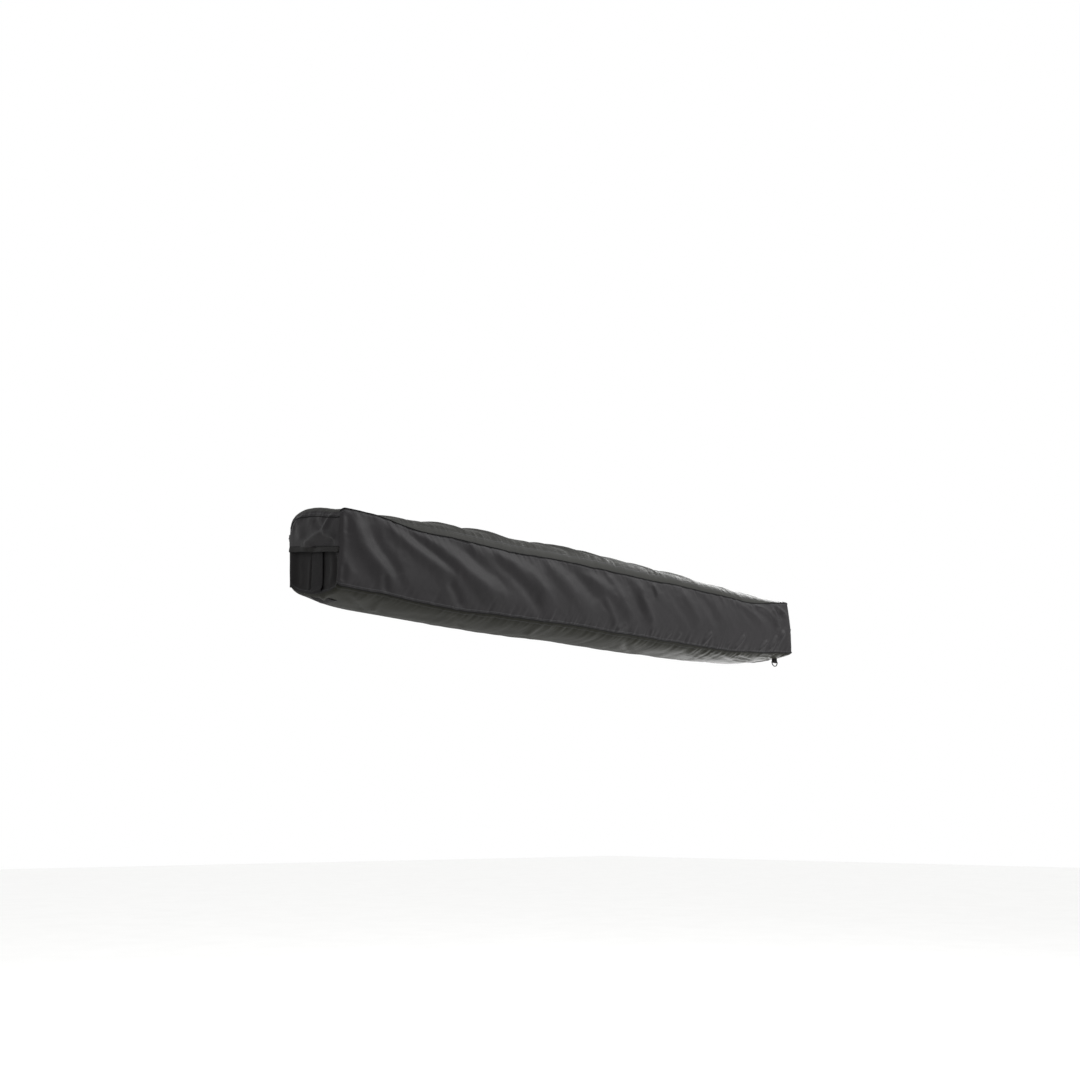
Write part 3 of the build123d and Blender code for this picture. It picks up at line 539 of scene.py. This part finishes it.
FRONT_FOLDS = (
    (28, 7.4, ((-1000, 88), (-985, 10), (-920, -48), (-872, -108))),
    (22, -6.8, ((-955, 70), (-930, 10), (-880, -30), (-840, -80))),
    (24, 7.6, ((-915, 104), (-855, 52), (-790, 20), (-695, -22), (-640, -62))),
    (20, -6.1, ((-860, 88), (-770, 42), (-700, 8), (-620, -38))),
    (30, 9.8, ((-835, 84), (-730, 60), (-685, 30), (-615, -15), (-530, -55), (-440, -98))),
    (24, -6.8, ((-640, 66), (-560, 20), (-470, -22), (-400, -66))),
    (36, 8.2, ((-520, 74), (-470, 55), (-380, 20), (-290, -20), (-225, -74))),
    (26, -8.2, ((-520, 48), (-435, 8), (-355, -36), (-300, -84), (-290, -130))),
    (13, -5.4, ((-900, -70), (-885, -134))),
    (18, -5.4, ((-665, -55), (-640, -90), (-610, -142))),
    (34, 6.8, ((-265, 66), (-190, 12), (-110, -52))),
    (26, -6.1, ((-170, 68), (-90, 10), (-20, -50))),
    (26, 8.2, ((-95, 50), (35, 0), (105, -42), (158, -100))),
    (16, 5.4, ((-5, -18), (30, -58), (65, -120))),
    (20, 6.1, ((20, 66), (60, 22), (110, -25))),
    (22, -6.1, ((110, 62), (150, 0), (190, -70))),
    (20, 6.8, ((175, 60), (205, -20), (255, -108))),
    (15, 4.1, ((250, 66), (280, 15))),
    (13, 4.1, ((65, -134), (115, -100))),
    (28, 5.4, ((400, 64), (455, 0), (500, -74))),
    (26, -5.4, ((500, 62), (560, 4), (600, -60))),
    (20, 6.1, ((690, 66), (765, 45), (835, 12), (880, -30))),
    (17, 9.5, ((815, 62), (905, 46), (955, 8), (985, -46))),
    (16, 5.4, ((930, 76), (952, 40), (968, -6))),
    (24, 4.8, ((1002, 66), (1022, 0), (1012, -66))),
    (15, -6.1, ((-1034, 92), (-1026, 60), (-1030, 24))),
    (12, -6.1, ((-1036, -58), (-1034, -90), (-1040, -118))),
    (9, 8.5, ((515, -136), (532, -114), (564, -80))),
    (9, 9.5, ((698, -136), (722, -108), (757, -70))),
    (9, 8.5, ((840, -130), (868, -104), (898, -78))),
    (10, 10.0, ((906, -124), (935, -90), (964, -48))),
    (10, 9.0, ((950, -104), (980, -62), (1006, -24))),
    (8, 5.0, ((358, -138), (376, -120), (394, -100))),
    (8, 5.0, ((304, -140), (322, -122), (342, -104))),
    (7, 4.5, ((226, -141), (234, -124), (242, -106))),
    (8, 4.5, ((640, -138), (655, -122), (670, -108))),
    (13, 7.0, ((936, 58), (962, 30), (990, 0))),
    (11, 7.0, ((950, 76), (990, 58), (1022, 36))),
    (11, 3.0, ((254, 62), (262, 34), (268, 8))),
    (10, 5.0, ((764, 68), (815, 44))),
    (10, 5.0, ((828, 66), (886, 48))),
)
TOP_FOLDS = (
    (20, 10.8, ((-930, -200), (-880, -270), (-800, -318))),
    (19, 10.8, ((-720, -170), (-650, -250), (-570, -312))),
    (19, 12.2, ((-560, -160), (-490, -250), (-375, -315))),
    (19, 10.8, ((-300, -120), (-240, -220), (-200, -300))),
    (20, 13.5, ((-230, -170), (-150, -260), (-60, -300), (40, -318))),
    (16, 9.5, ((-80, -200), (-20, -260), (50, -315))),
    (19, 9.5, ((180, -150), (240, -240), (300, -310))),
    (18, 9.5, ((360, -180), (430, -260), (520, -314))),
    (17, 8.1, ((600, -170), (650, -250), (740, -312))),
    (16, 8.1, ((800, -180), (850, -250), (900, -310))),
    (21, 8.1, ((-860, -80), (-780, -140), (-640, -170))),
    (22, 8.1, ((80, -80), (180, -120), (330, -150))),
    (21, 8.1, ((520, -90), (640, -130), (760, -140))),
)
BOTTOM_FOLDS = (
    (14, 5.0, ((-1000, -290), (-930, -230), (-860, -150))),
    (13, -5.0, ((-890, -318), (-880, -260), (-840, -180))),
    (15, 5.0, ((-640, -310), (-560, -240), (-500, -140))),
    (16, -5.0, ((-300, -316), (-270, -240), (-180, -150))),
    (15, 5.0, ((120, -310), (190, -240), (300, -170))),
    (14, -6.0, ((430, -315), (520, -260), (640, -220))),
    (13, 6.0, ((620, -300), (720, -260), (830, -200))),
    (12, -5.0, ((800, -310), (880, -250), (960, -190))),
    (11, 6.0, ((556, -314), (610, -286), (664, -256))),
    (10, 6.5, ((700, -306), (780, -282), (866, -262))),
    (9, 5.5, ((826, -320), (900, -306), (984, -292))),
    (9, 5.5, ((896, -284), (960, -272), (1022, -258))),
    (9, 6.0, ((756, -252), (830, -240), (904, -224))),
    (9, -6.0, ((-1044, -236), (-1030, -204), (-990, -166))),
)


def flatten(piece):
    """Gives a cover piece its own copy of its mesh."""
    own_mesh(piece)


def panel(name, shape, samples, node, material, width, seam_at):
    """One long panel: its shape over the stations along X and over steps across it, which are closer at its edges.
    It returns its points.

    width is the cut width in mm: the CAD panel's volume over its wall and its length. seam_at turns the place
    across into the share of that width to the nearest long seam."""
    even = np.linspace(0, 1, samples)
    x, across = np.meshgrid(STATIONS, (even + 0.5 * (1 - np.cos(np.pi * even))) / 2, indexing="ij")
    points = np.stack((x, *shape(x, across)), axis=-1)
    made = surface(name, points, material, "cover", [node], seam=seam_at(across) * width)
    flatten(made)
    return points


top = panel("cover_top", top_panel, 84, "cover_top_panel", top_lit_cloth, 344.0, lambda t: 1 - t)
front = panel("cover_front", front_panel, 76, "cover_front_panel", coated_cloth, 210.0, lambda t: np.minimum(t, 1 - t))
bottom = panel("cover_bottom", bottom_panel, 72, "cover_bottom_panel", ground_lit_cloth, 291.0, lambda t: t)


def band(path, out, height, thickness, sides=16):
    """A flat strap or hem carried along a path: its section is a squared oval, thin along out and wide across both.

    At each angle the oval's radius is (|cos|^6 + |sin|^6)^(-1/6), scaled by half the height and thickness."""
    ahead = unit(np.gradient(path, axis=0))
    wide = unit(np.cross(ahead, out))
    thin = np.cross(wide, ahead)
    turn = np.linspace(0, 2 * np.pi, sides, endpoint=False)
    c, s = np.cos(turn), np.sin(turn)
    size = (np.abs(c) ** 6 + np.abs(s) ** 6) ** (-1 / 6)
    return (path[:, None] + (c * size)[None, :, None] * height / 2 * wide[:, None]
            + (s * size)[None, :, None] * thickness / 2 * thin[:, None])


def capped(points):
    """Closes a band or tube at both ends: its first and last ring are drawn together onto their middles."""
    first, last = points[0].mean(axis=0), points[-1].mean(axis=0)
    return np.concatenate((np.broadcast_to(first, points[:1].shape), points, np.broadcast_to(last, points[:1].shape)))


def welt(name, path, radius=1.7):
    """A rolled seam welt along a line of points, near black: painted shade for the seam's groove."""
    flatten(surface(name, capped(tube(path, radius, 8)), shade_welt_cloth, "cover", closed=True))


# Near-black welts along both front seams: painted shade for their pinched grooves.
welt("seam_front_top", front[:, 0] + (0, -0.6, 0.2))
welt("seam_front_bottom", front[:, -1] + (0, -0.5, -0.4))


# Ends of the cover


def patch(low, high, back, front, samples):
    """A sheet between four border lines: the two straight blends between facing lines, less that of the corners.

    It returns the points and each row's and column's share of the way across."""
    a, b = np.linspace(0, 1, samples[0])[:, None, None], np.linspace(0, 1, samples[1])[None, :, None]
    pick = lambda line, share: np.stack([np.interp(share.ravel(), np.linspace(0, 1, len(line)), line[:, k])
                                         for k in range(3)], axis=-1)
    low, high, back, front = pick(low, a), pick(high, a), pick(back, b), pick(front, b)
    across = (1 - b) * low[:, None] + b * high[:, None]
    upright = (1 - a) * back[None] + a * front[None]
    corners = ((1 - a) * ((1 - b) * low[0] + b * high[0]) + a * ((1 - b) * low[-1] + b * high[-1]))
    return across + upright - corners, a[..., 0], b[..., 0]


def hem_line(side, y):
    """The flap's lower edge: it hangs lower at the front than at the back, with a little slack."""
    z = 4.0 + 0.195 * (y - MIDDLE) + 1.2 * crumple(y, 0 * y, 40.0, 10.0, 81 + side)
    return np.stack((np.full(len(y), side * (COVER_END + 1.5)), y, z), axis=-1)


def edge_between(line, z_low, z_high, count=40):
    """The stretch of an upright border line between two heights."""
    order = np.argsort(line[:, 2])
    z = np.linspace(z_low, z_high, count)
    x, y = (np.interp(z, line[order, 2], line[order, k]) for k in (0, 1))
    return np.stack((x, y, z), -1)


# Folds of the cover's ends, in Y and Z, by side: the flaps' own, and those of both lower panels.
END_FOLDS = {
    -1: (
        (13, 8.0, ((-120, 27), (-186, 36), (-240, 47))),
        (12, 8.0, ((-240, 47), (-269, 32), (-304, 14))),
        (12, 7.0, ((-240, 42), (-246, 62), (-269, 90), (-284, 108))),
        (15, -12.0, ((-150, 14), (-240, 14), (-300, 2))),
        (24, 5.0, ((-80, 112), (-100, 70), (-104, 44))),
        (11, 6.0, ((-40, 84), (-62, 108), (-110, 122))),
        (14, -6.0, ((-176, 98), (-200, 74), (-222, 52))),
        (10, -5.0, ((-140, 118), (-190, 112), (-240, 98))),
    ),
    1: (
        (12, 8.0, ((-140, 18), (-200, 36), (-260, 30))),
        (12, 7.0, ((-90, 60), (-140, 90), (-220, 96))),
        (24, -8.0, ((-160, 14), (-230, 18), (-290, 8))),
    ),
}
LOW_FOLDS = (
    (14, 3.0, ((-80, -10), (-95, -60), (-90, -100))),
    (6, -9.0, ((-151, -2), (-151, -60), (-148, -122))),
    (13, 3.5, ((-262, -25), (-272, -70), (-262, -120))),
    (10, -6.0, ((-290, -30), (-296, -80), (-290, -115))),
)


def cover_end(side):
    """One end of the cover: the upper flap with its hem, the lower panel set in behind it, and the strap.

    The flap swells by 9 mm times two sines to the power 0.6, one across and one upwards, and carries its folds
    away from its borders. The lower panel sinks 10 mm inside its borders. The strap runs down the lower panel and
    on under the bottom panel, and a moving average of five places rounds its bend."""
    tag = "left" if side < 0 else "right"
    station = 0 if side < 0 else -1
    top_line, front_line, low_line = top[station], front[station][::-1], bottom[station][::-1]
    back_line = np.linspace(low_line[0], top_line[0], 40)
    y = np.linspace(back_line[0, 1] + 1.0, front_line[:, 1].min() + 1.0, 70)
    hem = hem_line(side, y)
    back_up = edge_between(back_line, hem[0, 2], back_line[-1, 2])
    front_up = edge_between(front_line, hem[-1, 2], front_line[-1, 2])
    flap, a, b = patch(hem, top_line, back_up, front_up, (90, 60))
    puff = 9.0 * np.sin(np.pi * a) ** 0.6 * np.sin(np.pi * np.clip(b, 0, 1) ** 0.8 * 0.98 + 0.02) ** 0.6
    hold = np.clip(np.minimum(np.minimum(a, 1 - a), 1 - b) / 0.12, 0, 1)
    soft = 1.6 * crumple(flap[..., 1], flap[..., 2], 45.0, 45.0, 91 + side)
    out = puff + hold * (folds(flap[..., 1], flap[..., 2], END_FOLDS[side]) + soft)
    out += puckers(flap[..., 1], (1 - b) * 90.0, 2.0, 16.0, 95)
    flap[..., 0] += side * out
    flap_piece = surface(f"end_flap_{tag}", flap if side < 0 else flap[::-1], coated_cloth, "cover", ["end_flaps"],
                         seam=np.broadcast_to((1 - b) * 95.0, flap.shape[:2]))
    flatten(flap_piece)
    edge = flap[:, 0] + (side * 0.8, 0, 0)
    hem_piece = surface(f"flap_hem_{tag}", capped(band(edge, np.array([side, 0.0, 0.0]), 16.0, 6.0)), hem_cloth,
                        "cover", ["flap_hems"], closed=True)
    flatten(hem_piece)
    # Two near-black welts along the hem's edges: painted shadow lines.
    for shift in (-8.2, 8.4):
        welt(f"hem_line_{tag}_{'low' if shift < 0 else 'high'}", edge + (side * 1.6, 0, shift), 0.9)
    behind = hem - (side * 5.0, 0, 0) + (0, 0, 4.0)
    front_down = edge_between(front_line, front_line[0, 2], behind[-1, 2])
    back_down = edge_between(back_line, back_line[0, 2], behind[0, 2])
    lower, a, b = patch(low_line, behind, back_down, front_down, (90, 50))
    hold = ease(np.clip(np.minimum(np.minimum(a, 1 - a), b) / 0.14, 0, 1))
    soft = 1.2 * crumple(lower[..., 1], lower[..., 2], 30.0, 60.0, 97 + side)
    lower[..., 0] -= side * hold * (END_RECESS + 6.0 - folds(lower[..., 1], lower[..., 2], LOW_FOLDS) - soft)
    lower_piece = surface(f"end_panel_{tag}", lower if side < 0 else lower[::-1], shaded_inset_cloth, "cover", ["end_panels"],
                          seam=np.broadcast_to(b * 110.0, lower.shape[:2]))
    flatten(lower_piece)
    # A near-black welt along the flap's upper seam: painted shade for the seam's groove.
    welt(f"seam_end_{tag}", flap[2:-2, 50] + (side * 0.5, 0, 0), 1.5)
    middle = np.argmin(np.abs(a[:, 0] - 0.53))
    down = lower[middle, ::-1]
    down = down[down[:, 2] < hem[len(hem) // 2, 2]]
    down = down + (side * 2.2, 0, 0)
    under_x = side * np.linspace(COVER_END - 6, COVER_END - 62, 12)
    under_skin = bottom[:60, 36, 2][::-1] if side < 0 else bottom[-60:, 36, 2]
    under_z = np.interp(np.abs(under_x), np.abs(STATIONS[:60][::-1]), under_skin) - 1.6
    under = np.stack((under_x, np.full(len(under_x), down[-1, 1]), under_z), -1)
    path = np.concatenate((down[:-1], under[1:]))
    smooth = np.stack([np.convolve(np.pad(path[:, k], 2, mode="edge"), np.ones(5) / 5, mode="valid")
                       for k in range(3)], -1)
    strap = surface(f"end_strap_{tag}", capped(band(smooth, np.array([side * 0.9, 0.0, -0.42]), 66.0, 2.6)), webbing,
                    "cover", ["end_straps"], closed=True)
    flatten(strap)


cover_end(-1)
cover_end(1)


# Back of the cover, zip and ring


def back_cloth(name, x, low, high, rows, behind, node, material, body, seed, swell=1.5):
    """A strip of the back: a grid along X and from one height to another, with slight waves along it.

    Its Y is the cover's back edge at the same place, between the lower and upper edges, and a little behind."""
    share = np.linspace(0, 1, rows)[None, :]
    low, high = low + 0 * x, high + 0 * x
    zs = low[:, None] + (high - low)[:, None] * share
    xs = np.broadcast_to(x[:, None], zs.shape)
    height = np.clip((zs - BOTTOM) / (TOP - BOTTOM), 0, 1)
    ys = back_edge(xs, height) - 2.0 + behind + np.sin(np.pi * share) * swell * crumple(xs, zs, 70.0, 40.0, seed)
    made = surface(name, np.stack((xs, ys, zs), -1)[::-1], material, body, node)
    if body == "cover":
        flatten(made)


INSIDE = COVER_END - 1.0
strip_x = np.linspace(-INSIDE, INSIDE, 420)
foot = along(strip_x, *BACK_SEAM_LOW) + 0.8
back_cloth("strip_above_beam", strip_x, 46.0, 69.0, 12, 0.0, ["back_strip_top"], coated_cloth, "base",
           101)
back_cloth("strip_below_beam", strip_x, foot, np.maximum(foot + 1.0, -92.0), 12, 0.0, ["back_strip_bottom"],
           coated_cloth, "base", 103)
BEAM_LEFT, BEAM_RIGHT = -906.5, 1034.5
for tag, start, end in (("left", -INSIDE, BEAM_LEFT), ("right", BEAM_RIGHT, INSIDE)):
    return_x = np.linspace(start, end, 60)
    foot_of_return = np.maximum(along(return_x, *BACK_SEAM_LOW) + 0.8, -93.5)
    back_cloth(f"back_return_{tag}", return_x, foot_of_return, 47.5, 50, -0.8, ["cover_back_ends"],
               coated_cloth, "cover", 105, 2.5)
back_cloth("zip_tape_on_strip", strip_x, 57.5, 67.8, 5, 1.2, ["zip_tape_fixed"], zip_weave, "base",
           107, 0.3)
back_cloth("zip_tape_on_cover", strip_x, 68.8, TOP + 1.0, 5, 1.5, ["zip_tape_cover"], zip_weave, "cover",
           109, 0.3)


def coils(name, z, body, phase):
    """A zip's row of nylon coils: a tube along X whose radius rises and falls once every 3 mm."""
    x = np.arange(-INSIDE, INSIDE, 0.75)
    path = np.stack((x, back_edge(x) + 0.2, np.full(len(x), z)), -1)
    radii = 1.25 + 0.45 * np.sin(2 * np.pi * x / 3.0 + phase)
    return surface(name, capped(tube(path, radii, 6)), zip_weave, body, closed=True)


coils("zip_coils_on_strip", 67.2, "base", 0.0)
flatten(coils("zip_coils_on_cover", 69.9, "cover", math.pi))


def ring_loop():
    """The webbing loop that holds the ring: down from the bottom panel, round the ring's bar and up again."""
    low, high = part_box("ring_tab")
    x, y = (low[0] + high[0]) * 500, (low[1] + high[1]) * 500
    bar_z, bend = low[2] * 1000 + 4.3, 3.5
    station = np.argmin(np.abs(STATIONS - x))
    skin = np.interp(-y, -bottom[station, :, 1], bottom[station, :, 2]) + 1.5
    turn = np.linspace(np.pi, 2 * np.pi, 17)
    loop_y, loop_z = y + bend * np.cos(turn), bar_z + bend * np.sin(turn)
    down_z = np.linspace(skin, bar_z + 1.0, 6)
    path_y = np.concatenate((np.linspace(y - 1.6, y - bend, 6), loop_y, np.linspace(y + bend, y + 1.6, 6)))
    path_z = np.concatenate((down_z, loop_z, down_z[::-1]))
    path = np.stack((np.full(len(path_y), x), path_y, path_z), -1)
    ahead = np.gradient(path, axis=0)
    out = np.cross(ahead, np.array([1.0, 0.0, 0.0]))
    return surface("ring_tab_webbing", capped(band(path, out, 25.0, 1.7)), webbing, "cover", ["ring_tab"],
                   closed=True)


flatten(ring_loop())


# Folded canopy


LAYERS = 47
SPREAD = math.radians(67.5)
STACK = 26.0
ROOT = 213.0
REACH = 1004.0 - PIVOT_X
ZIGZAG = 0.96


def gore(number):
    """A canopy gore in radial folds, stacked on its arm. It opens as a fan from the arm before it to its own arm.

    The share w of the swing grows evenly along the cloth. Each layer crosses the arm once: Y is the half width
    times asin(0.96 cos(47 pi w)) / asin(0.96), a rounded zigzag, and the half width grows with the distance from
    the post. The blend turns a height s in the stack into s^2 (3 - 2s), so s is the inverse of that,
    0.5 - sin(asin(1 - 2w) / 3). The outer edge is a straight chord between two arm tips once the fan is open:
    R cos(a / 2) / cos(b - a / 2), with a = 67.5 degrees and b each point's own angle in the open fan."""
    y0 = ARM_Y[number - 1]
    share = np.linspace(0, 1, LAYERS * 4 + 1)
    rows, ws = np.meshgrid(np.linspace(0, 1, 60), share, indexing="ij")
    zigzag = np.arcsin(ZIGZAG * np.cos(np.pi * LAYERS * ws)) / np.arcsin(ZIGZAG)
    opened = np.clip(ws * SPREAD - 23.0 * zigzag / REACH, 0, SPREAD)
    edge = REACH * np.cos(SPREAD / 2) / np.cos(opened - SPREAD / 2)
    radius = ROOT + (edge - ROOT) * rows
    half = 3.0 + 20.5 * (radius - ROOT) / (REACH - ROOT)
    across = half * zigzag * (1 - 0.03 * (1 + crumple(radius, 300 * ws, 160.0, 9.0, 120 + number)))
    zs = ARM_TOP + 1.0 + STACK * (0.5 - np.sin(np.arcsin(1 - 2 * ws) / 3))
    points = np.stack((PIVOT_X + radius, y0 + across, zs), -1)
    angle = ws * SPREAD - across / radius
    chart = np.stack((radius * np.cos(angle), radius * np.sin(angle)), -1) / 1000
    if number > 1:
        step = np.linspace(0, 1, 6)[None, :-1]
        lead_y = ARM_Y[number - 2] * (1 - step) + points[:, :1, 1] * step
        lead = np.stack((np.broadcast_to(points[:, :1, 0], lead_y.shape), lead_y,
                         np.full(lead_y.shape, ARM_TOP + 0.6)), -1)
        lead_chart = chart[:, :1] - np.stack((0 * lead_y, (lead_y - points[:, :1, 1]) / 1000), -1)
        points, chart = np.concatenate((lead, points), 1), np.concatenate((lead_chart, chart), 1)
    made = surface(f"gore_{number}", points[::-1], canvas, None, [f"canopy_gore_{number}"],
                   chart=chart[::-1])
    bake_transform(made)
    # The gore's last edge comes down beside the stack and under it into the arm's groove.
    line = points[:, -1]
    drop = np.array([[0.0, 0.0], [-0.7, -0.5], [-0.7, -9.0], [-0.7, -18.0], [-0.7, -STACK + 0.4]])
    web = [line + (0.0, dy, dz) for dy, dz in drop]
    for step in (0.35, 0.7, 1.0):
        tucked = line + (0.0, 0.0, -STACK - 0.5)
        tucked[:, 1] = (line[:, 1] - 0.7) * (1 - step) + (y0 - 2.0) * step
        web.append(tucked)
    surface(f"gore_web_{number}", np.stack(web, 1)[::-1], canvas, f"arm_{number}", [f"canopy_gore_{number}"])


for number in (1, 2, 3, 4):
    gore(number)
